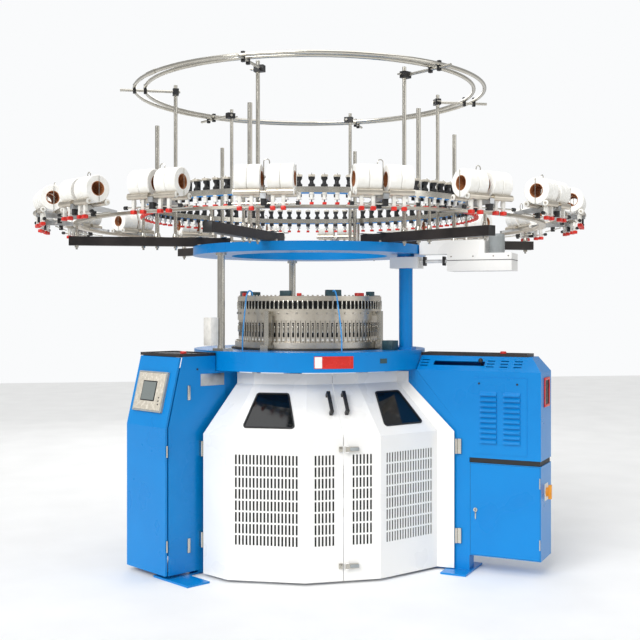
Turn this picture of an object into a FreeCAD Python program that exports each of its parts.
import FreeCAD, Part
import Sketcher
import math
import os
import re

# Circular knitting machine, millimetres.  The origin is on the floor, on the machine's axis.
# The front is -Y and +Z is up.  A bearing is an angle about the axis, from -Y towards +X.
# A piece in a local frame has X outwards along its bearing, Y round towards larger bearings, Z up.

doc = FreeCAD.newDocument("KnittingMachine")
sheet = doc.addObject("Spreadsheet::Sheet", "Sizes")

SIZES = {
    # bearings of the legs, columns and gate, in degrees
    "left_bearing": -56.7, "right_bearing": 54.0, "rear_bearing": 180.0, "gate_bearing": 4.0,
    "left_column_bearing": -58.0, "right_column_bearing": 58.0, "overhead_bearing": 58.0,
    "arm_bearing": 30.0, "pinion_bearing": 80.0,
    # bed, legs and feet
    "bed_radius": 664.0, "bed_low": 1077.0, "bed_high": 1181.0, "bed_rim_wall": 30.0,
    "bed_deck": 30.0, "bed_bore": 375.0, "foot_plate": 10.0, "foot_inner": 560.0,
    "foot_outer": 985.0, "foot_bar_depth": 140.0, "foot_bar_half": 150.0, "foot_beam_half": 30.0,
    "anchor_radius": 950.0, "anchor_hole_radius": 9.0, "anchor_spacing": 60.0,
    "leg_inner": 500.0, "leg_rim_inset": 3.0, "leg_outer": 968.0, "left_leg_outer": 780.0,
    "leg_shoulder": 715.0, "left_leg_shoulder": 905.0, "leg_thickness": 80.0,
    "leg_front": 30.0, "left_leg_front": 30.0,
    # columns and top plate
    "column_left_place": 640.0, "column_left_radius": 20.0, "column_right_place": 580.0,
    "column_right_radius": 38.0, "column_rear_place": 632.0, "column_rear_radius": 21.0,
    "column_flange_radius": 46.0, "column_flange": 14.0, "top_plate_low": 1710.0,
    "top_plate": 50.0, "top_plate_radius": 670.0, "top_plate_bore": 450.0,
    # spider, posts and tube rings
    "arm_width": 50.0, "arm_wall": 3.0, "arm_inner": 460.0, "arm_outer": 1360.0,
    "tall_post_place": 770.0, "tall_post_radius": 10.5, "tall_post_rise": 912.0,
    "short_post_place": 873.0, "short_post_radius": 12.0, "short_post_wall": 2.0,
    "short_post_rise": 680.0, "support_post_radius": 8.0, "tube_ring_radius": 1000.0,
    "tube_ring_inner_radius": 940.0, "tube_radius": 10.5, "tube_ring_rise": 890.0,
    "rod_radius": 8.0, "rod_inner": 745.0, "rod_outer": 1080.0, "clamp_size": 34.0,
    # yarn feeders
    "feeder_count": 96.0, "feeder_ring_radius": 950.0, "feeder_ring_width": 26.0,
    "feeder_ring_rise": 215.0, "feeder_ring_plate": 30.0, "feeder_width": 34.0,
    "feeder_depth": 44.0, "feeder_rise": 62.0, "wheel_radius": 13.0, "wheel_length": 34.0,
    # elastane units
    "unit_count": 18.0, "unit_bearing": 2.5, "unit_radius": 1480.0, "package_rise": 220.0,
    "package_radius": 65.0, "package_width": 57.0, "package_pitch": 58.0, "bracket_gap": 31.5,
    "core_radius": 35.0, "core_wall": 3.0, "roller_radius": 15.0, "roller_spread": 50.0,
    "roller_axle_radius": 6.0, "unit_ring_inner": 1300.0, "unit_ring_outer": 1335.0,
    "unit_ring_rise": 106.0, "unit_ring_plate": 14.0, "bracket_width": 26.0,
    # knitting head
    "cylinder_radius": 355.6, "cylinder_wall": 20.0, "cylinder_top": 1352.0,
    "base_ring_radius": 430.0, "base_ring_high": 1225.0, "cam_count": 96.0, "cam_radius": 409.0,
    "cam_clearance": 2.4, "cam_width": 24.0, "cam_high": 1343.0, "cam_ring_radius": 415.0,
    "cam_ring_high": 1401.0, "guide_ring_high": 1477.0,
    "guide_groove_low": 1406.0, "guide_groove_high": 1451.0, "guide_groove_depth": 6.0,
    "bracket_post_count": 4.0, "bracket_bearing": -40.0, "bracket_post_place": 432.0, "bracket_post_high": 1395.0,
    # ring gear, pinion and take-down
    "gear_module": 7.5, "gear_teeth": 120.0, "pinion_teeth": 20.0, "gear_low": 1096.0,
    "gear_high": 1138.0, "gear_lip": 5.6, "gear_gap": 0.6, "shaft_radius": 14.0,
    "motor_radius": 88.0, "motor_length": 290.0, "motor_flange": 12.0,
    "frame_half_span": 300.0, "frame_plate": 20.0, "frame_half_depth": 120.0, "frame_low": 200.0,
    "beam_size": 40.0, "draw_height": 640.0, "draw_radius": 34.0, "roll_height": 400.0,
    "roll_radius": 95.0, "journal_radius": 12.0, "journal_clearance": 0.05, "end_gap": 4.0,
    # gate
    "gate_low": 14.0, "gate_fold": 750.0, "gate_neck": 1006.0, "gate_high": 1064.0,
    "gate_apothem": 720.0, "gate_front_half": 200.0, "gate_facet": 410.0, "gate_bend": 24.0,
    "gate_neck_scale": 0.70, "gate_wall": 4.0, "gate_split_gap": 3.0, "left_hinge_radius": 780.0,
    "right_hinge_radius": 900.0, "right_hinge_front": 47.0, "hinge_radius": 7.0,
    "hinge_length": 80.0, "hinge_low": 150.0, "hinge_high": 630.0, "slot_width": 10.0, "slot_length": 50.0, "slot_pitch": 18.7,
    "slot_row_pitch": 59.0, "slot_rows": 8.0, "slot_columns": 18.0, "front_slot_columns": 6.0,
    "slot_low": 197.0, "window_low": 792.0, "window_high": 962.0,
    "handle_height": 130.0, "latch_high": 690.0, "latch_low": 92.0, "latch_inset": 16.0,
    "latch_stand_off": 13.0, "latch_half_height": 12.0, "latch_length": 66.0,
    "latch_pin_radius": 4.0,
    # left control cabinet
    "cabinet_low": 26.0, "cabinet_high": 1156.0, "cabinet_front": 25.0, "cabinet_back": 386.0,
    "cabinet_outer": 995.0, "cabinet_fold": 790.0, "cabinet_top_outer": 905.0,
    "cabinet_inner": 600.0, "cabinet_wall": 3.0, "door_wall": 12.0, "door_gap": 6.0,
    "panel_width": 262.0, "panel_height": 215.0, "panel_depth": 12.0, "panel_shift": 8.5, "panel_centre": 968.0,
    "tray_thickness": 16.0, "tray_clearance": 6.0,
    # right drive housing and electrical box
    "housing_front": 30.0, "housing_back": 197.0, "housing_outer": 1353.0, "housing_low": 612.0,
    "housing_high": 1075.0, "housing_wall": 4.0, "cover_high": 1150.0,
    "cover_top_front": 55.0, "electric_low": 90.0, "electric_high": 585.0, "louver_inner": 993.0,
    "louver_outer": 1280.0, "louver_low": 635.0, "louver_high": 1042.0, "louver_plate": 3.0,
    "louver_width": 90.0, "louver_rows": 10.0, "louver_pitch": 28.0, "louver_slot": 9.0,
    "louver_reach": 13.0, "switch_height": 440.0, "electric_door_wall": 16.0, "supply_hole_radius": 16.0,
    "switch_radius": 24.0, "button_radius": 17.0, "button_stem_radius": 8.0,
    "left_button_place": 850.0, "right_button_place": 1120.0, "lever_place": 1022.0,
    "cover_end_slope": 68.0, "cover_slot": 8.0, "cover_slot_pitch": 22.0,
    "cover_slot_length": 43.0, "lever_slot": 34.0, "lever_slot_inner": 754.0,
    "lever_slot_outer": 1040.0,
    # overhead drive
    "case_low": 1612.0, "case_high": 1706.0, "case_inner": 837.0, "case_outer": 1187.0,
    "case_step": 150.0,
    "case_half": 85.0, "upper_case_high": 1780.0, "gear_block_inner": 505.0,
    "gear_block_outer": 665.0, "gear_block_half": 60.0, "link_radius": 10.0,
    "overhead_motor_radius": 42.0, "overhead_motor_high": 1812.0,
}

# Sizes that follow others: legs and housing meet the bed, the gear carries the cylinder, and
# everything on the spider arms rises with the top plate.
TIED_SIZES = {
    "leg_top_outer": "=bed_radius - leg_rim_inset",
    "housing_inner": "=bed_radius",
    "gear_bore": "=cylinder_radius - cylinder_wall - gear_lip",
    "unit_ring_low": "=top_plate_low + top_plate + unit_ring_rise",
    "feeder_ring_low": "=top_plate_low + top_plate + feeder_ring_rise",
    "feeder_ring_high": "=feeder_ring_low + feeder_ring_plate",
    "package_height": "=top_plate_low + top_plate + package_rise",
    "tall_post_top": "=top_plate_low + top_plate + tall_post_rise",
    "short_post_top": "=top_plate_low + top_plate + short_post_rise",
    "tube_ring_height": "=top_plate_low + top_plate + tube_ring_rise",
}

for row, (alias, content) in enumerate({**SIZES, **TIED_SIZES}.items(), start=1):
    sheet.set("A%d" % row, alias)
    sheet.set("B%d" % row, str(content))
    sheet.setAlias("B%d" % row, alias)
doc.recompute()

ORIGIN = FreeCAD.Vector(0, 0, 0)
UP = FreeCAD.Vector(0, 0, 1)
OUTWARDS = FreeCAD.Vector(1, 0, 0)
ROUND = FreeCAD.Vector(0, 1, 0)
nodes = []


def size(alias):
    """The number in one cell of the sheet."""
    return float(sheet.get(alias))


def formula(text):
    """A formula written with plain cell names, as FreeCAD reads it."""
    return re.sub(r"\b[a-z][a-z_]+\b", lambda word: "Sizes." + word.group(0), text)


def value(text):
    """The number a formula gives now, for shapes that are set in code."""
    terms = re.sub(r"\s", "", text).replace("-", "+-").split("+")
    total = 0.0
    for term in filter(None, terms):
        product = -1.0 if term.startswith("-") else 1.0
        for factor in term.lstrip("-").split("*"):
            product *= float(factor) if factor[0].isdigit() else size(factor)
        total += product
    return total


def keep(node, label):
    """Names a finished sub-part and puts it on the list that is checked and written."""
    node.Label = label
    nodes.append(node)
    return node


def turn(node, bearing):
    """Turns a piece from its local frame to a bearing that a cell holds."""
    node.Placement = FreeCAD.Placement(ORIGIN, FreeCAD.Rotation(UP, size(bearing) - 90))
    node.setExpression("Placement.Rotation.Angle", "Sizes.%s - 90" % bearing)
    return node


def at_bearing(shape, degrees):
    """A copy of a shape in the local frame, turned to a bearing."""
    copy = shape.copy()
    copy.rotate(ORIGIN, UP, degrees - 90)
    return copy


def bearings(count, first=0.0):
    """Evenly spaced bearings, in degrees."""
    return [first + 360.0 * index / count for index in range(int(count))]


def sketch_on(body, plane, points, offset):
    """A closed outline on one of the body's own planes, each corner bound to its formulas."""
    role = [face for face in body.Origin.OriginFeatures if face.Role == plane][0]
    sketch = body.newObject("Sketcher::SketchObject", "Outline")
    sketch.AttachmentSupport = [(role, "")]
    sketch.MapMode = "FlatFace"
    sketch.setExpression("AttachmentOffset.Base.z", formula(offset))
    corners = [FreeCAD.Vector(value(across), value(along), 0) for across, along in points]
    count = len(corners)
    for index in range(count):
        sketch.addGeometry(Part.LineSegment(corners[index], corners[(index + 1) % count]), False)
    for index in range(count):
        following = (index + 1) % count
        sketch.addConstraint(Sketcher.Constraint("Coincident", index, 2, following, 1))
    for index, texts in enumerate(points):
        for axis, text in zip(("DistanceX", "DistanceY"), texts):
            made = sketch.addConstraint(
                Sketcher.Constraint(axis, -1, 1, index, 1, value(text)))
            sketch.setExpression("Constraints[%d]" % made, formula(text))
    return sketch


def plate_body(label, plane, points, offset, thickness):
    """A pad of an outline: on XZ it runs towards -Y, on XY upwards, on YZ outwards."""
    body = doc.addObject("PartDesign::Body", label)
    sketch = sketch_on(body, plane, points, offset)
    pad = body.newObject("PartDesign::Pad", "Pad")
    pad.Profile = sketch
    pad.setExpression("Length", formula(thickness))
    doc.recompute()
    return keep(body, label)


def hollow(body, plane, points, offset, depth):
    """A pocket that runs the same way as the body's pad and has to remove metal."""
    before = body.Shape.Volume
    sketch = sketch_on(body, plane, points, offset)
    pocket = body.newObject("PartDesign::Pocket", "Hollow")
    pocket.Profile = sketch
    pocket.Reversed = True
    pocket.setExpression("Length", formula(depth))
    doc.recompute()
    if body.Shape.Volume >= before:
        raise RuntimeError("the hollow in %s removes nothing" % body.Label)
    return body


def turned_body(label, points):
    """A full turn, about the machine's axis, of an outline of radius and height formulas."""
    body = doc.addObject("PartDesign::Body", label)
    sketch = sketch_on(body, "XZ_Plane", points, "0")
    spun = body.newObject("PartDesign::Revolution", "Turn")
    spun.Profile = sketch
    spun.ReferenceAxis = (sketch, ["V_Axis"])
    spun.Angle = 360
    doc.recompute()
    return keep(body, label)


def code_node(label, shape):
    """A piece whose repeats or cuts are set in code, from the same sheet."""
    node = doc.addObject("Part::Feature", label)
    node.Shape = group([shape])
    return keep(node, label)


def group(shapes):
    """Separate solids that share one node."""
    return Part.makeCompound([solid for shape in shapes for solid in shape.Solids])


def block(low, high):
    """A box between two corners."""
    span = [top - bottom for bottom, top in zip(low, high)]
    return Part.makeBox(span[0], span[1], span[2], FreeCAD.Vector(*low))


def rod(radius, start, end):
    """A round bar between two points."""
    first = FreeCAD.Vector(*start)
    run = FreeCAD.Vector(*end) - first
    return Part.makeCylinder(radius, run.Length, first, run)


def prism(points, height, low):
    """An upright prism of an outline in plan."""
    corners = [FreeCAD.Vector(across, along, low) for across, along in points]
    return Part.Face(Part.makePolygon(corners + corners[:1])).extrude(UP * height)


# ---- bed, legs, feet and columns -------------------------------------------------------------

def ring_outline(inner, outer, low, high):
    """The four corners of a ring's section."""
    return [(inner, low), (outer, low), (outer, high), (inner, high)]


def make_bed():
    """The bed is an inverted channel, so that the ring gear runs under its deck."""
    inner_rim = "bed_radius - bed_rim_wall"
    deck_low = "bed_high - bed_deck"
    turned_body("bed_table", [
        ("bed_bore", deck_low), (inner_rim, deck_low), (inner_rim, "bed_low"),
        ("bed_radius", "bed_low"), ("bed_radius", "bed_high"), ("bed_bore", "bed_high")])


def make_leg(label, bearing, outer, shoulder, offset):
    """A cast web whose outer edge slopes in from its shoulder to the bed."""
    outline = [("leg_inner", "foot_plate"), (outer, "foot_plate"), (outer, shoulder),
               ("leg_top_outer", "bed_low"), ("leg_inner", "bed_low")]
    turn(plate_body(label, "XZ_Plane", outline, offset, "leg_thickness"), bearing)


def make_feet():
    """T-shaped floor plates, one for each leg, with one anchor hole in each."""
    solids = []
    anchors = [-size("anchor_spacing"), size("anchor_spacing"), 180.0]
    for bearing, anchor in zip(("left_bearing", "right_bearing", "rear_bearing"), anchors):
        beam_y = {"left_bearing": -size("left_leg_front") - size("leg_thickness") / 2,
                  "right_bearing": -size("leg_front") + size("leg_thickness") / 2,
                  "rear_bearing": 0.0}[bearing]
        half = size("foot_beam_half")
        thick = size("foot_plate")
        beam = block((size("foot_inner"), beam_y - half, 0), (size("foot_outer"), beam_y + half, thick))
        bar = block((size("foot_outer") - size("foot_bar_depth"), -size("foot_bar_half"), 0),
                    (size("foot_outer"), size("foot_bar_half"), thick))
        foot = at_bearing(beam.fuse(bar).removeSplitter(), size(bearing))
        hole = at_bearing(rod(size("anchor_hole_radius"), (size("anchor_radius"), 0, -1),
                              (size("anchor_radius"), 0, thick + 1)), anchor)
        solids.append(foot.cut(hole))
    code_node("floor_feet", group(solids))


def make_column(label, bearing, place, radius):
    """A pillar with a square foot flange and a round head flange, between bed and top plate."""
    low = size("bed_high")
    high = size("top_plate_low")
    across = size(place)
    flange = size("column_flange")
    half = size("column_flange_radius")
    edge = min(across + half, size("bed_radius") - 2)
    pillar = rod(size(radius), (across, 0, low), (across, 0, high))
    base = block((across - half, -half, low), (edge, half, low + flange))
    head = rod(size(radius) + 10, (across, 0, high - flange), (across, 0, high))
    column = pillar.fuse([base, head]).removeSplitter()
    turn(code_node(label, column), bearing)


make_bed()
make_leg("left_leg", "left_bearing", "left_leg_outer", "left_leg_shoulder", "left_leg_front")
make_leg("right_leg", "right_bearing", "leg_outer", "leg_shoulder", "leg_front - leg_thickness")
make_leg("rear_leg", "rear_bearing", "leg_outer", "leg_shoulder", "-0.5 * leg_thickness")
make_feet()
make_column("left_column", "left_column_bearing", "column_left_place", "column_left_radius")
make_column("right_column", "right_column_bearing", "column_right_place", "column_right_radius")
make_column("rear_column", "rear_bearing", "column_rear_place", "column_rear_radius")
turned_body("top_ring_plate", ring_outline(
    "top_plate_bore", "top_plate_radius", "top_plate_low", "top_plate_low + top_plate"))


# ---- spider arms, posts and tube rings -------------------------------------------------------

ARMS = bearings(6, size("arm_bearing"))
arm_low = size("top_plate_low") + size("top_plate")
arm_high = arm_low + size("arm_width")
rod_height = size("tube_ring_height") - size("tube_radius") - size("rod_radius")


def repeat_round(label, shapes, places):
    """The same solids at each bearing, as one node."""
    code_node(label, group([at_bearing(shape, place) for place in places for shape in shapes]))


def make_arms():
    """Square tubes that lie on the top plate."""
    half = size("arm_width") / 2
    wall = size("arm_wall")
    outer = block((size("arm_inner"), -half, arm_low), (size("arm_outer"), half, arm_high))
    bore = block((size("arm_inner") - 1, wall - half, arm_low + wall),
                 (size("arm_outer") + 1, half - wall, arm_high - wall))
    repeat_round("spider_arms", [outer.cut(bore)], ARMS)


def make_posts():
    """Tall posts carry the tube rings, short tubes stand beside them, stubs carry the lower rings."""
    tall = size("tall_post_place")
    short = size("short_post_place")
    tall_post = rod(size("tall_post_radius"), (tall, 0, arm_high), (tall, 0, size("tall_post_top")))
    outside = rod(size("short_post_radius"), (short, 0, arm_high), (short, 0, size("short_post_top")))
    inside = rod(size("short_post_radius") - size("short_post_wall"), (short, 0, arm_high + 20),
                 (short, 0, size("short_post_top") + 1))
    repeat_round("ring_posts", [tall_post, outside.cut(inside)], ARMS)
    feeder = size("feeder_ring_radius")
    unit = (size("unit_ring_inner") + size("unit_ring_outer")) / 2
    stub = size("support_post_radius")
    repeat_round("support_posts", [
        rod(stub, (feeder, 0, arm_high), (feeder, 0, size("feeder_ring_low"))),
        rod(stub, (unit, 0, arm_high), (unit, 0, size("unit_ring_low")))], ARMS)


def make_tube_rings():
    """Two rings of bent tube, on six radial rods, with clamps where they cross."""
    height = size("tube_ring_height")
    rings = [Part.makeTorus(size(alias), size("tube_radius"), FreeCAD.Vector(0, 0, height))
             for alias in ("tube_ring_radius", "tube_ring_inner_radius")]
    code_node("tube_rings", group(rings))
    half = size("clamp_size") / 2
    beside = size("tall_post_radius") + size("rod_radius")
    bar = rod(size("rod_radius"), (size("rod_inner"), beside, rod_height),
              (size("rod_outer"), beside, rod_height))
    repeat_round("ring_rods", [bar], ARMS)
    clamps = []
    for radius in (size("tube_ring_radius"), size("tube_ring_inner_radius")):
        jaw = block((radius - half / 2, beside - half / 2, rod_height - half),
                    (radius + half / 2, beside + half / 2, height + half))
        clamps.append(jaw.cut([bar] + rings))
    tall = size("tall_post_place")
    post = rod(size("tall_post_radius"), (tall, 0, arm_high), (tall, 0, size("tall_post_top")))
    jaw = block((tall - half, -half, rod_height - half), (tall + half, beside + half, rod_height + half))
    clamps.append(jaw.cut([bar, post]))
    repeat_round("ring_clamps", clamps, ARMS)


make_arms()
make_posts()
make_tube_rings()


# ---- yarn feeders ----------------------------------------------------------------------------

def make_feeders():
    """Storage feeders stand on the ring, each with its yarn wheel on a spindle under it."""
    half = "0.5 * feeder_ring_width"
    turned_body("feeder_ring", ring_outline(
        "feeder_ring_radius - " + half, "feeder_ring_radius + " + half,
        "feeder_ring_low", "feeder_ring_high"))
    centre = size("feeder_ring_radius")
    wide = size("feeder_width") / 2
    deep = size("feeder_depth") / 2
    high = size("feeder_ring_high")
    body = block((centre - deep, -wide, high), (centre + deep, wide, high + size("feeder_rise")))
    waist = rod(wide, (centre - 2 * deep, -1.6 * wide, high + size("feeder_rise") / 2),
                (centre + 2 * deep, -1.6 * wide, high + size("feeder_rise") / 2))
    other = waist.mirror(ORIGIN, ROUND)
    places = bearings(size("feeder_count"), 360.0 / size("feeder_count") / 2)
    repeat_round("feeder_bodies", [body.cut([waist, other])], places)
    drop = size("feeder_ring_width") / 2 + size("wheel_radius") + 1
    top = size("feeder_ring_high")
    wheel = rod(size("wheel_radius"), (centre + drop, 0, top - size("wheel_length")),
                (centre + drop, 0, top))
    repeat_round("feed_wheels", [wheel], places)


make_feeders()


# ---- elastane units --------------------------------------------------------------------------

UNITS = bearings(size("unit_count"), size("unit_bearing"))
roller_height = size("package_height") - math.sqrt(
    (size("package_radius") + size("roller_radius")) ** 2 - size("roller_spread") ** 2)


def package_starts():
    """Where each of a unit's four packages begins, along the unit."""
    first = size("bracket_gap") / 2
    pitch = size("package_pitch")
    width = size("package_width")
    return [first, first + pitch, -first - width, -first - pitch - width]


def make_packages():
    """Cheese packages on cardboard cores, lying on two driven rollers."""
    radius = size("unit_radius")
    height = size("package_height")
    width = size("package_width")
    yarn = []
    cores = []
    for start in package_starts():
        ends = (radius, start, height), (radius, start + width, height)
        core = rod(size("core_radius"), *ends)
        wound = rod(size("package_radius"), *ends).cut(core)
        rims = [edge for edge in wound.Edges if isinstance(edge.Curve, Part.Circle)
                and edge.Curve.Radius > size("core_radius") + 1]
        yarn.append(wound.makeFillet(5.0, rims))
        cores.append(core.cut(rod(size("core_radius") - size("core_wall"), *ends)))
    repeat_round("elastane_packages", yarn, UNITS)
    repeat_round("package_cores", cores, UNITS)


def make_rollers():
    """Each roller is one turned bar, with a thin neck that lies on the bracket."""
    end = size("bracket_gap") / 2 + size("package_pitch") + size("package_width")
    neck = size("bracket_gap") / 2
    rollers = []
    for side in (-1, 1):
        across = size("unit_radius") + side * size("roller_spread")
        thick = rod(size("roller_radius"), (across, -end, roller_height), (across, end, roller_height))
        gap = rod(size("roller_radius") + 1, (across, -neck, roller_height), (across, neck, roller_height))
        axle = rod(size("roller_axle_radius"), (across, -end - 8, roller_height),
                   (across, end + 8, roller_height))
        rollers.append(thick.cut(gap).fuse(axle).removeSplitter())
    repeat_round("elastane_rollers", rollers, UNITS)


def make_unit_brackets():
    """A cast bracket on the outer ring carries each unit's rollers."""
    half = size("bracket_width") / 2
    low = size("unit_ring_low") + size("unit_ring_plate")
    high = roller_height - size("roller_axle_radius")
    far = size("unit_radius") + size("roller_spread") + size("roller_radius")
    outline = [(size("unit_ring_inner"), low), (far, high - 24), (far, high),
               (size("unit_radius") - size("roller_spread") - 20, high), (size("unit_ring_inner"), low + 14)]
    corners = [FreeCAD.Vector(across, -half, up) for across, up in outline]
    web = Part.Face(Part.makePolygon(corners + corners[:1])).extrude(ROUND * 2 * half)
    trim = block((size("unit_ring_inner") - 1, -half - 1, low - 60),
                 (size("unit_ring_outer") + 2, half + 1, low))
    repeat_round("unit_brackets", [web.cut(trim)], UNITS)


turned_body("elastane_ring", ring_outline(
    "unit_ring_inner", "unit_ring_outer", "unit_ring_low", "unit_ring_low + unit_ring_plate"))
make_packages()
make_rollers()
make_unit_brackets()


# ---- knitting head ---------------------------------------------------------------------------

def make_head():
    """Fixed rings and cam boxes round the needle cylinder, which turns inside them."""
    turned_body("base_ring", ring_outline("bed_bore", "base_ring_radius", "bed_high", "base_ring_high"))
    inner = "cylinder_radius + cam_clearance"
    half = size("cam_width") / 2
    low = size("base_ring_high")
    box = block((size("cylinder_radius") + size("cam_clearance"), -half, low),
                (size("cam_radius"), half, size("cam_high")))
    places = bearings(size("cam_count"))
    repeat_round("cam_boxes", [box], places)
    turned_body("cam_ring", ring_outline(inner, "cam_ring_radius", "cam_high", "cam_ring_high"))
    groove = "cam_ring_radius - guide_groove_depth"
    turned_body("yarn_guide_ring", [
        (inner, "cam_ring_high"), ("cam_ring_radius", "cam_ring_high"),
        ("cam_ring_radius", "guide_groove_low"), (groove, "guide_groove_low"),
        (groove, "guide_groove_high"), ("cam_ring_radius", "guide_groove_high"),
        ("cam_ring_radius", "guide_ring_high"), (inner, "guide_ring_high")])
    inside = "cylinder_radius - cylinder_wall"
    turned_body("needle_cylinder", ring_outline(inside, "cylinder_radius", "gear_high", "cylinder_top"))
    place = size("bracket_post_place")
    foot = block((place, -24, size("bed_high")), (place + 60, 24, size("bed_high") + 30))
    post = block((place + 8, -13, size("bed_high") + 30), (place + 34, 13, size("bracket_post_high")))
    arm = block((size("cam_ring_radius"), -13, size("bracket_post_high") - 26),
                (place + 8, 13, size("bracket_post_high") - 2))
    bracket = foot.fuse([post, arm]).removeSplitter()
    repeat_round("ring_brackets", [bracket], bearings(size("bracket_post_count"), size("bracket_bearing")))


make_head()


# ---- ring gear, pinion, motor and take-down ---------------------------------------------------

def gear_solid(teeth, bore, low, high, first_tooth):
    """A spur gear with straight-flanked teeth; first_tooth is the angle of one tooth's centre."""
    module = size("gear_module")
    pitch = module * teeth / 2
    points = []
    step = 2 * math.pi / teeth
    quarter = step / 4 - size("gear_gap") / pitch / 2
    for index in range(int(teeth)):
        middle = math.radians(first_tooth) + index * step
        for radius, share in ((pitch - 1.2 * module, -1.55), (pitch + 0.9 * module, -0.5),
                              (pitch + 0.9 * module, 0.5), (pitch - 1.2 * module, 1.55)):
            angle = middle + share * quarter
            points.append((radius * math.cos(angle), radius * math.sin(angle)))
    blank = prism(points, high - low, low)
    return blank.cut(rod(bore, (0, 0, low - 1), (0, 0, high + 1)))


def make_drive():
    """A geared motor under the bed turns the ring gear through a pinion on its own shaft."""
    low = size("gear_low")
    high = size("gear_high")
    mesh = size("pinion_bearing") - 90
    code_node("ring_gear", gear_solid(size("gear_teeth"), size("gear_bore"), low, high, mesh))
    centre = size("gear_module") * (size("gear_teeth") + size("pinion_teeth")) / 2
    half_tooth = 180.0 / size("pinion_teeth")
    pinion = gear_solid(size("pinion_teeth"), size("shaft_radius"), low, high, 180 + half_tooth)
    shaft = rod(size("shaft_radius"), (0, 0, size("bed_low") - 22), (0, 0, high))
    driver = pinion.fuse(shaft).removeSplitter()
    driver.translate(FreeCAD.Vector(centre, 0, 0))
    turn(code_node("drive_pinion", driver), "pinion_bearing")
    top = size("bed_low")
    body_top = top - size("motor_flange") - 10
    plate = block((centre - 110, -110, top - size("motor_flange")), (size("bed_radius") - 12, 110, top))
    can = rod(size("motor_radius"), (centre, 0, body_top - size("motor_length")), (centre, 0, body_top))
    neck = rod(size("motor_radius") - 20, (centre, 0, body_top), (centre, 0, top - size("motor_flange")))
    well = rod(size("shaft_radius") + 1, (centre, 0, top - 23), (centre, 0, top + 1))
    motor = plate.fuse([can, neck]).removeSplitter().cut(well)
    turn(code_node("drive_motor", motor), "pinion_bearing")


def make_take_down():
    """The take-down frame hangs from the ring gear; a draw roller and the cloth roll turn in it."""
    inside = size("frame_half_span")
    outside = inside + size("frame_plate")
    deep = size("frame_half_depth")
    low = size("frame_low")
    top = size("gear_low")
    beam = size("beam_size")
    parts = []
    for side in (-1, 1):
        ends = sorted((side * inside, side * outside))
        parts.append(block((ends[0], -deep, low), (ends[1], deep, top)))
        ends = sorted((side * inside, side * (size("gear_bore") + 30)))
        parts.append(block((ends[0], -beam, top - beam), (ends[1], beam, top)))
    for height in (low, top - 3 * beam):
        parts.append(block((-outside, -beam / 2, height), (outside, beam / 2, height + beam)))
    frame = parts[0].fuse(parts[1:]).removeSplitter()
    bore = size("journal_radius") + size("journal_clearance")
    heights = (size("draw_height"), size("roll_height"))
    frame = frame.cut([rod(bore, (-outside - 1, 0, up), (outside + 1, 0, up)) for up in heights])
    code_node("take_down_frame", frame)
    end = inside - size("end_gap")
    for label, radius, up in (("draw_roller", "draw_radius", heights[0]),
                              ("cloth_roll", "roll_radius", heights[1])):
        barrel = rod(size(radius), (-end, 0, up), (end, 0, up))
        journal = rod(size("journal_radius"), (-outside, 0, up), (outside, 0, up))
        code_node(label, barrel.fuse(journal).removeSplitter())


make_drive()
make_take_down()


# ---- gate ------------------------------------------------------------------------------------

def gate_corner(across, outwards):
    """A point of the gate's plan, from the gate's own frame to the machine's."""
    angle = math.radians(size("gate_bearing"))
    return (across * math.cos(angle) + outwards * math.sin(angle),
            across * math.sin(angle) - outwards * math.cos(angle))


def local_corner(bearing, across, along):
    """A point given outwards and round in a local frame."""
    angle = math.radians(size(bearing) - 90)
    return (across * math.cos(angle) - along * math.sin(angle),
            across * math.sin(angle) + along * math.cos(angle))


def hinge_place(side):
    """The hinge line of one wing, in plan."""
    if side > 0:
        return local_corner("right_bearing", size("right_hinge_radius"), -size("right_hinge_front"))
    return local_corner("left_bearing", size("left_hinge_radius"), 0.0)


def wing_plan(side):
    """Corners of one wing, from the split to just short of its hinge."""
    bend = math.radians(size("gate_bend"))
    half = size("gate_front_half")
    face = size("gate_apothem")
    run = size("gate_facet")
    hinge = hinge_place(side)
    last = gate_corner(side * (half + run * math.cos(bend)), face - run * math.sin(bend))
    back = size("hinge_radius") + 4.0
    reach = math.dist(last, hinge)
    stop = [near + (far - near) * (1 - back / reach) for near, far in zip(last, hinge)]
    return [gate_corner(side * size("gate_split_gap") / 2, face), gate_corner(side * half, face),
            last, tuple(stop)]


def wing_block(side, scale, reach):
    """The solid wedge from the axis out to a wing's faces, or to faces scaled in towards it."""
    corners = [(0.0, 0.0)] + [(x * scale, y * scale) for x, y in wing_plan(side)]
    levels = [(size("gate_low") - reach, 1.0), (size("gate_fold"), 1.0),
              (size("gate_neck"), size("gate_neck_scale")),
              (size("gate_high") + reach, size("gate_neck_scale"))]
    wires = []
    for level, share in levels:
        points = [FreeCAD.Vector(x * share, y * share, level) for x, y in corners]
        wires.append(Part.makePolygon(points + points[:1]))
    return Part.makeLoft(wires, True, True)


def facet_frame(side, index, height):
    """Placement of a facet: X along it, Y outwards through it, origin at its middle."""
    corners = wing_plan(side)
    first, second = [FreeCAD.Vector(x, y, 0) for x, y in corners[index:index + 2]]
    middle = (first + second) * 0.5 + UP * height
    along = (second - first).normalize()
    outwards = FreeCAD.Vector(along.y, -along.x, 0) * side
    turned = FreeCAD.Rotation(outwards.cross(UP), outwards, UP, "ZYX")
    return FreeCAD.Placement(middle, turned), (second - first).Length


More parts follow.
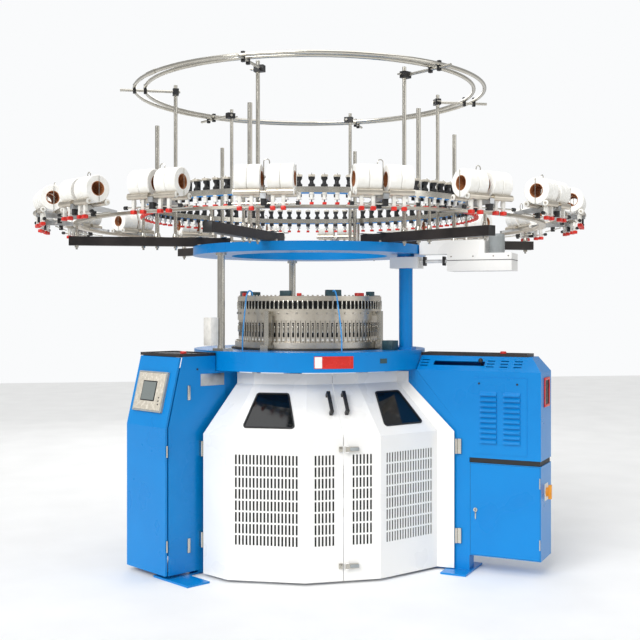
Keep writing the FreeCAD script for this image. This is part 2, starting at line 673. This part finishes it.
def slot_tools(side):
    """The air slots of one wing: short columns by the split, full columns on the broad facet."""
    tools = []
    for index, columns in ((0, size("front_slot_columns")), (1, size("slot_columns"))):
        frame, _ = facet_frame(side, index, 0.0)
        for column in range(int(columns)):
            across = (column - (columns - 1) / 2) * size("slot_pitch")
            for line in range(int(size("slot_rows"))):
                low = size("slot_low") + line * size("slot_row_pitch")
                tool = block((across - size("slot_width") / 2, -30, low),
                             (across + size("slot_width") / 2, 30, low + size("slot_length")))
                tool.Placement = frame
                tools.append(tool)
    return tools


def window_outline(side, inset):
    """The window's corners on the sloped part of the broad facet."""
    corners = [FreeCAD.Vector(x, y, 0) for x, y in wing_plan(side)[1:3]]
    fold = size("gate_fold")
    rise = size("gate_neck") - fold
    points = []
    for height, ends in ((size("window_low") + inset, (0.14, 0.86)),
                         (size("window_high") - inset, (0.30, 0.86))):
        share = 1 - (1 - size("gate_neck_scale")) * (height - fold) / rise
        edge = corners[1] - corners[0]
        slip = inset / edge.Length
        row = [corners[0] + edge * (ends[0] + slip), corners[0] + edge * (ends[1] - slip)]
        points.append([point * share + UP * height for point in row])
    return points[0] + points[1][::-1]


def window_tool(side, inset, inwards, outwards):
    """A straight plug through the window opening, with rounded corners."""
    points = window_outline(side, inset)
    normal = (points[1] - points[0]).cross(points[2] - points[1]).normalize()
    if normal.z < 0:
        normal = normal * -1
    face = Part.Face(Part.makePolygon(points + points[:1]))
    face.translate(normal * -inwards)
    plug = face.extrude(normal * (inwards + outwards))
    corners = [edge for edge in plug.Edges
               if abs((edge.Vertexes[1].Point - edge.Vertexes[0].Point).normalize().dot(normal)) > 0.99]
    return plug.makeFillet(18.0, corners)


def make_wing(name, side):
    """A wing is one folded sheet with its slots and window opening cut through."""
    wall = 1 - size("gate_wall") / size("gate_apothem")
    sheet_metal = wing_block(side, 1.0, 0.0).cut(wing_block(side, wall, 5.0))
    opening = window_tool(side, 0.0, 40, 40)
    wing = sheet_metal.cut(slot_tools(side) + [opening])
    if side > 0:
        wing = wing.fuse(latch_ears()).removeSplitter()
    code_node("gate_" + name, wing)
    pane = window_tool(side, 0.4, size("gate_wall") - 0.5, 0.0)
    code_node("window_" + name, pane)


def make_handle(name, side):
    """A bowed grip with two feet, beside the split on the sloped face."""
    fold = size("gate_fold")
    rise = size("gate_neck") - fold
    sink = size("gate_apothem") * (1 - size("gate_neck_scale"))
    slope = math.atan2(sink, rise)
    centre = fold + rise * 0.60
    reach = size("gate_apothem") - sink * 0.60
    half = size("handle_height") / 2
    grip = block((-9, 26, -half), (9, 36, half))
    feet = [block((-9, 0, low), (9, 26, low + 16)) for low in (-half, half - 16)]
    handle = grip.fuse(feet).removeSplitter()
    handle.rotate(ORIGIN, OUTWARDS, math.degrees(slope))
    handle.rotate(ORIGIN, UP, 180)
    handle.translate(FreeCAD.Vector(side * 42, -reach, centre))
    handle.rotate(ORIGIN, UP, size("gate_bearing"))
    code_node("handle_" + name, handle)


def make_hinges():
    """Fixed hinge barrels, two on each leg line, with a leaf back to the leg."""
    barrels = []
    for side in (-1, 1):
        x, y = hinge_place(side)
        bearing = size("right_bearing") if side > 0 else size("left_bearing")
        for low in (size("hinge_low"), size("hinge_high")):
            barrel = rod(size("hinge_radius"), (x, y, low), (x, y, low + size("hinge_length")))
            if side > 0:
                leaf = block((size("right_hinge_radius"), -size("right_hinge_front") + 3, low),
                             (size("right_hinge_radius") + 26, -size("leg_front"), low + size("hinge_length")))
            else:
                leaf = block((size("left_hinge_radius") - 26, -size("cabinet_front"), low),
                             (size("left_hinge_radius"), -3, low + size("hinge_length")))
            barrels.append(barrel.fuse(at_bearing(leaf, bearing)).removeSplitter())
    code_node("gate_hinges", group(barrels))


def latch_place(height):
    """The pin of a draw latch, in the gate's own frame with the front along -Y."""
    return size("latch_inset"), -size("gate_apothem") - size("latch_stand_off"), height


def latch_ears():
    """Two welded ears for each latch pin, on the right wing beside the split."""
    ears = []
    for height in (size("latch_high"), size("latch_low")):
        across, along, up = latch_place(height)
        half = size("latch_half_height") + 1.0
        pin = rod(size("latch_pin_radius") + size("journal_clearance"), (across, along, up - 60),
                  (across, along, up + 60))
        for side in (-1, 1):
            ends = sorted((up + side * half, up + side * (half + 5)))
            ear = block((across - 8, along - 7, ends[0]), (across + 8, 2 - size("gate_apothem"), ends[1]))
            ear = ear.cut(pin)
            ear.rotate(ORIGIN, UP, size("gate_bearing"))
            ears.append(ear)
    return ears


def make_latches():
    """Draw-latch levers that lie beside the split; each turns on an upright pin."""
    for name, height in (("upper", size("latch_high")), ("lower", size("latch_low"))):
        across, along, up = latch_place(height)
        half = size("latch_half_height")
        lever = block((across - 6, along - 6, up - half),
                      (across - 6 + size("latch_length"), along + 6, up + half))
        pin = rod(size("latch_pin_radius"), (across, along, up - half - 6), (across, along, up + half + 6))
        latch = lever.fuse(pin).removeSplitter()
        latch.rotate(ORIGIN, UP, size("gate_bearing"))
        code_node("latch_" + name, latch)


for wing_name, wing_side in (("left", -1), ("right", 1)):
    make_wing(wing_name, wing_side)
    make_handle(wing_name, wing_side)
make_hinges()
make_latches()


# ---- left control cabinet --------------------------------------------------------------------

def make_cabinet():
    """A channel-shaped carcass: front side panel, back panel and top, open to the leg and floor."""
    shell = "cabinet_outer - door_wall - door_gap"
    top_shell = "cabinet_top_outer - door_wall - door_gap"
    outline = [("cabinet_inner", "cabinet_low"), (shell, "cabinet_low"), (shell, "cabinet_fold"),
               (top_shell, "cabinet_high"), ("bed_radius + tray_clearance", "cabinet_high"),
               ("bed_radius + tray_clearance", "bed_low - cabinet_wall"),
               ("cabinet_inner", "bed_low - cabinet_wall")]
    body = plate_body("cabinet_carcass", "XZ_Plane", outline, "cabinet_front",
                      "cabinet_back - cabinet_front")
    past = "cabinet_inner - cabinet_wall"
    wall = "cabinet_wall"
    inner = [(past, "cabinet_low - " + wall), ("cabinet_outer", "cabinet_low - " + wall),
             ("cabinet_outer", "cabinet_high - " + wall), (past, "cabinet_high - " + wall)]
    hollow(body, "XZ_Plane", inner, "cabinet_front + " + wall,
           "cabinet_back - cabinet_front - 2 * cabinet_wall")
    turn(body, "left_bearing")
    face = [("cabinet_outer - door_wall", "cabinet_low"), ("cabinet_outer", "cabinet_low"),
            ("cabinet_outer", "cabinet_fold"), ("cabinet_top_outer", "cabinet_high - cabinet_wall"),
            ("cabinet_top_outer - door_wall", "cabinet_high - cabinet_wall"),
            ("cabinet_outer - door_wall", "cabinet_fold")]
    door = plate_body("cabinet_door", "XZ_Plane", face, "cabinet_front + cabinet_wall",
                      "cabinet_back - cabinet_front - 2 * cabinet_wall")
    turn(door, "left_bearing")


def make_control_panel():
    """The operator's panel lies on the door's sloped face."""
    lean = math.atan2(size("cabinet_outer") - size("cabinet_top_outer"),
                      size("cabinet_high") - size("cabinet_fold"))
    share = (size("panel_centre") - size("cabinet_fold")) / (size("cabinet_high") - size("cabinet_fold"))
    across = size("cabinet_outer") - share * (size("cabinet_outer") - size("cabinet_top_outer"))
    middle = -(size("cabinet_front") + size("cabinet_back")) / 2 - size("panel_shift")
    panel = block((0, -size("panel_width") / 2, -size("panel_height") / 2),
                  (size("panel_depth"), size("panel_width") / 2, size("panel_height") / 2))
    panel.rotate(ORIGIN, ROUND, -math.degrees(lean))
    panel.translate(FreeCAD.Vector(across, middle, size("panel_centre")))
    turn(code_node("control_panel", panel), "left_bearing")


def tray_solid(bearing, low, high, button):
    """A shallow tray with a raised rim and a button hole, on top of a cabinet."""
    thick = size("tray_thickness")
    tray = block(low, (high[0], high[1], low[2] + thick))
    well = block((low[0] + 8, low[1] + 8, low[2] + 8), (high[0] - 8, high[1] - 8, low[2] + thick + 1))
    return at_bearing(tray.cut([well, button_hole(button[0], button[1], low[2])]), size(bearing))


def button_hole(across, along, low):
    """The hole in a tray's floor that a button's stem slides in."""
    radius = size("button_stem_radius") + size("journal_clearance")
    return rod(radius, (across, along, low - 1), (across, along, low + size("tray_thickness")))


def make_button(label, bearing, across, along, low):
    """A mushroom head on a stem; the gap under the head is more than its travel."""
    floor = low + size("tray_thickness") / 2
    stem = rod(size("button_stem_radius"), (across, along, floor - 2.5), (across, along, floor + 12))
    head = rod(size("button_radius"), (across, along, floor + 8), (across, along, floor + 20))
    rim = [edge for edge in head.Edges if edge.BoundBox.ZMin > floor + 19]
    button = head.makeFillet(6.0, rim).fuse(stem).removeSplitter()
    turn(code_node(label, button), bearing)


make_cabinet()
make_control_panel()
LEFT_BUTTON = (size("left_button_place"), -70.0)
RIGHT_BUTTON = (size("right_button_place"), 90.0)
make_button("stop_button_left", "left_bearing", *LEFT_BUTTON, size("cabinet_high"))


# ---- right drive housing and electrical box --------------------------------------------------

def make_housing():
    """A blue shell beside the leg: closed at the front and the end, open at the back."""
    slope_low = "leg_shoulder"
    outline = [("leg_outer", "housing_low"), ("housing_outer", "housing_low"),
               ("housing_outer", "housing_high"), ("housing_inner", "housing_high"),
               ("leg_outer", slope_low)]
    body = plate_body("drive_housing", "XZ_Plane", outline, "-housing_back",
                      "housing_back + housing_front")
    wall = "housing_wall"
    inner = [("leg_outer + " + wall, "housing_low + " + wall),
             ("housing_outer - " + wall, "housing_low + " + wall),
             ("housing_outer - " + wall, "housing_high - " + wall),
             ("housing_inner + 3 * housing_wall", "housing_high - " + wall),
             ("leg_outer + " + wall, slope_low + " + 2 * housing_wall")]
    hollow(body, "XZ_Plane", inner, "-housing_back", "housing_back + housing_front - " + wall)
    turn(body, "right_bearing")


def make_slotted_cover():
    """The sloped top cover, with air slots and the long slot that the lever moves in."""
    front = -size("housing_front")
    back = size("housing_back")
    low = size("housing_high")
    high = size("cover_high")
    wall = size("housing_wall")
    start = size("bed_radius") + size("end_gap")
    end = size("housing_outer")
    edge = size("cover_top_front")

    def wedge(inset, first, last):
        outline = [(front + 1.6 * inset, low), (back - inset, low), (back - inset, high - inset),
                   (edge + 0.6 * inset, high - inset)]
        corners = [FreeCAD.Vector(first, along, up) for along, up in outline]
        return Part.Face(Part.makePolygon(corners + corners[:1])).extrude(OUTWARDS * (last - first))

    def end_slope(inset):
        outline = [(end - inset, low - 1), (end - inset, low), (end - size("cover_end_slope") - inset, high),
                   (end + 1, high), (end + 1, low - 1)]
        corners = [FreeCAD.Vector(across, front - 1, up) for across, up in outline]
        return Part.Face(Part.makePolygon(corners + corners[:1])).extrude(ROUND * (back - front + 2))

    outside = wedge(0.0, start, end).cut(end_slope(0.0))
    cover = outside.cut(wedge(wall, start + wall, end - wall).cut(end_slope(1.5 * wall)))
    lean = math.atan2(high - low, edge - front)
    tools = []
    slot = size("cover_slot")
    for first in (680.0, 1050.0, 1125.0, 1200.0):
        for line in (-1, 0, 1):
            up = line * size("cover_slot_pitch")
            tools.append(block((first, up - slot / 2, -12), (first + size("cover_slot_length"), up + slot / 2, 12)))
    half = size("lever_slot") / 2
    tools.append(block((size("lever_slot_inner"), -half, -12), (size("lever_slot_outer"), half, 12)))
    for tool in tools:
        tool.rotate(ORIGIN, OUTWARDS, math.degrees(lean))
        tool.translate(FreeCAD.Vector(0, (front + edge) / 2, (low + high) / 2))
    turn(code_node("slotted_cover", cover.cut(tools)), "right_bearing")


def make_shift_lever():
    """A lever with a ball knob, pivoted under the cover and standing out of its long slot."""
    front = -size("housing_front")
    edge = size("cover_top_front")
    middle = ((front + edge) / 2, (size("housing_high") + size("cover_high")) / 2)
    lean = math.atan2(size("cover_high") - size("housing_high"), edge - front)
    out = (-math.sin(lean), math.cos(lean))
    place = size("lever_place")
    start = (place, middle[0] - 28 * out[0], middle[1] - 28 * out[1])
    end = (place, middle[0] + 24 * out[0], middle[1] + 24 * out[1])
    stick = rod(5.0, start, end)
    knob = Part.makeSphere(13.0, FreeCAD.Vector(*end))
    hub = rod(6.0, (place, start[1] - 8 * out[1], start[2] + 8 * out[0]),
              (place, start[1] + 8 * out[1], start[2] - 8 * out[0]))
    turn(code_node("shift_lever", stick.fuse([knob, hub]).removeSplitter()), "right_bearing")


def make_louver_panel():
    """A screwed-on panel with two columns of pressed louvers."""
    front = -size("housing_front")
    plate = size("louver_plate")
    inner = size("louver_inner")
    outer = size("louver_outer")
    panel = block((inner, front - plate, size("louver_low")), (outer, front, size("louver_high")))
    width = size("louver_width")
    gap = (outer - inner - 2 * width) / 3
    tools = []
    hoods = []
    for column in range(2):
        start = inner + gap + column * (width + gap)
        for line in range(int(size("louver_rows"))):
            low = size("louver_low") + 60 + line * size("louver_pitch")
            tools.append(block((start, front - plate - 1, low), (start + width, front + 1, low + size("louver_slot"))))
            reach = front - plate - size("louver_reach")
            hood = [(front - plate, low + 20), (front - plate, low + 10), (reach, low - 1), (reach, low + 3)]
            corners = [FreeCAD.Vector(start, along, up) for along, up in hood]
            hoods.append(Part.Face(Part.makePolygon(corners + corners[:1])).extrude(OUTWARDS * width))
    turn(code_node("louver_panel", panel.cut(tools).fuse(hoods).removeSplitter()), "right_bearing")


def make_electrical_box():
    """A steel box beside the leg, with a supply-cable hole in its floor and an inset door."""
    front = -size("housing_front")
    back = size("housing_back")
    inner = size("leg_outer")
    outer = size("housing_outer")
    low = size("electric_low")
    high = size("electric_high")
    wall = size("housing_wall")
    shell = block((inner, front, low), (outer, back, high))
    void = block((inner + wall, front - 1, low + wall), (outer - wall, back - wall, high - wall))
    spacer = block((inner + 8, front + 10, high), (outer - 14, back - 6, size("housing_low")))
    box = shell.cut(void).fuse(spacer)
    middle = (inner + outer) / 2
    hole = rod(size("supply_hole_radius"), (middle, 110, low - 1), (middle, 110, low + wall + 1))
    turn(code_node("electrical_box", box.removeSplitter().cut(hole)), "right_bearing")
    gap = 1.5
    door = block((inner + wall + gap, front, low + wall + gap),
                 (outer - wall - gap, front + size("electric_door_wall"), high - wall - gap))
    turn(code_node("electrical_door", door), "right_bearing")
    up = size("switch_height")
    spindle = rod(8.0, (outer + 0.4, 80, up), (outer + 26, 80, up))
    rose = rod(size("switch_radius"), (outer + 4, 80, up), (outer + 14, 80, up))
    grip = block((outer + 14, 71, up - 37), (outer + 30, 89, up + 37))
    turn(code_node("main_switch", spindle.fuse([rose, grip]).removeSplitter()), "right_bearing")


make_housing()
make_slotted_cover()
make_shift_lever()
make_louver_panel()
make_electrical_box()
left_tray = tray_solid("left_bearing", (size("bed_radius") + size("tray_clearance"), -size("cabinet_back"), size("cabinet_high")),
                       (size("cabinet_top_outer"), -size("cabinet_front")), LEFT_BUTTON)
right_tray = tray_solid("right_bearing",
                        (size("housing_inner"), size("cover_top_front") + 4, size("cover_high")),
                        (size("housing_outer") - size("cover_end_slope") - 25, size("housing_back")), RIGHT_BUTTON)
code_node("tool_trays", group([left_tray, right_tray]))
make_button("stop_button_right", "right_bearing", *RIGHT_BUTTON, size("cover_high"))


# ---- overhead drive and hoses ----------------------------------------------------------------

def make_overhead():
    """The take-off gear case by the right column, its link shaft, the drive cases and a motor."""
    half = size("case_half")
    small = size("gear_block_half")
    place = size("column_right_place")
    gear_block = block((size("gear_block_inner"), -small, size("case_low") + 20),
                       (size("gear_block_outer"), small, size("top_plate_low") - size("column_flange") - 2))
    gear_block = gear_block.cut(rod(size("column_right_radius") + size("journal_clearance"),
                                    (place, 0, size("case_low")), (place, 0, size("top_plate_low"))))
    lower = block((size("case_inner"), -half, size("case_low")), (size("case_outer"), half, size("case_high")))
    upper = block((size("top_plate_radius") + 5, -0.7 * half, size("case_high")),
                  (size("case_outer") - size("case_step"), 0.7 * half, size("upper_case_high")))
    height = (size("case_low") + size("case_high")) / 2 + 10
    link = rod(size("link_radius"), (size("gear_block_outer"), 0, height), (size("case_inner"), 0, height))
    turn(code_node("overhead_drive", group([gear_block, link, lower, upper])), "overhead_bearing")
    place = size("case_outer") - size("case_step") / 2 - 22
    motor = rod(size("overhead_motor_radius"), (place, 0, size("case_high")),
                (place, 0, size("overhead_motor_high")))
    turn(code_node("overhead_motor", motor), "overhead_bearing")


def hose_path(points):
    """Straight runs joined by tangent arcs, each as large as its two runs allow."""
    route = [FreeCAD.Vector(*point) for point in points]
    edges = []
    start = route[0]
    for before, corner, after in zip(route, route[1:], route[2:]):
        towards = (corner - before).normalize()
        away = (after - corner).normalize()
        bend = towards.getAngle(away)
        cut = 0.45 * min((corner - before).Length, (after - corner).Length)
        middle_way = (away - towards).normalize()
        radius = cut / math.tan(bend / 2)
        first = corner - towards * cut
        last = corner + away * cut
        middle = corner + middle_way * (radius / math.cos(bend / 2) - radius)
        edges.append(Part.LineSegment(start, first).toShape())
        edges.append(Part.Arc(first, middle, last).toShape())
        start = last
    edges.append(Part.LineSegment(start, route[-1]).toShape())
    return Part.Wire(edges)


def make_hoses():
    """Air lines from fittings on the guide ring down to the bed."""
    ring = size("cam_ring_radius")
    bed = size("bed_high")
    top = size("guide_ring_high")
    hoses = []
    for bearing in (8.0, -62.0):
        route = [(ring - 12, 0, top), (ring - 12, 0, top + 22), (ring + 12, 3, top + 34),
                 (ring + 34, 8, top + 2), (ring + 46, 14, top - 70), (ring + 60, 20, top - 150),
                 (ring + 70, 24, bed + 70), (ring + 70, 24, bed)]
        path = hose_path(route)
        first = path.Edges[0]
        section = Part.Wire(Part.makeCircle(4.0, first.Vertexes[0].Point, first.tangentAt(first.FirstParameter)))
        hose = path.makePipeShell([section], True, False)
        if abs(hose.Volume / (math.pi * 16.0 * path.Length) - 1) > 0.02:
            raise RuntimeError("a hose has lost its section")
        hoses.append(at_bearing(hose, bearing))
    code_node("air_hoses", group(hoses))


make_overhead()
make_hoses()


# ---- check and write -------------------------------------------------------------------------

def check_and_write():
    """Every object must have built, and every sub-part is written to its own file."""
    doc.recompute()
    for thing in doc.Objects:
        if "Invalid" in thing.State or "Error" in thing.State:
            raise RuntimeError("%s did not build" % thing.Label)
    os.makedirs("parts", exist_ok=True)
    for node in nodes:
        if node.Shape.isNull() or not node.Shape.isValid() or not node.Shape.Solids:
            raise RuntimeError("%s has no valid solid" % node.Label)
        node.Shape.exportStep("parts/%s.step" % node.Label)
    print(len(nodes), "nodes,", sum(len(node.Shape.Solids) for node in nodes), "solids")


check_and_write()
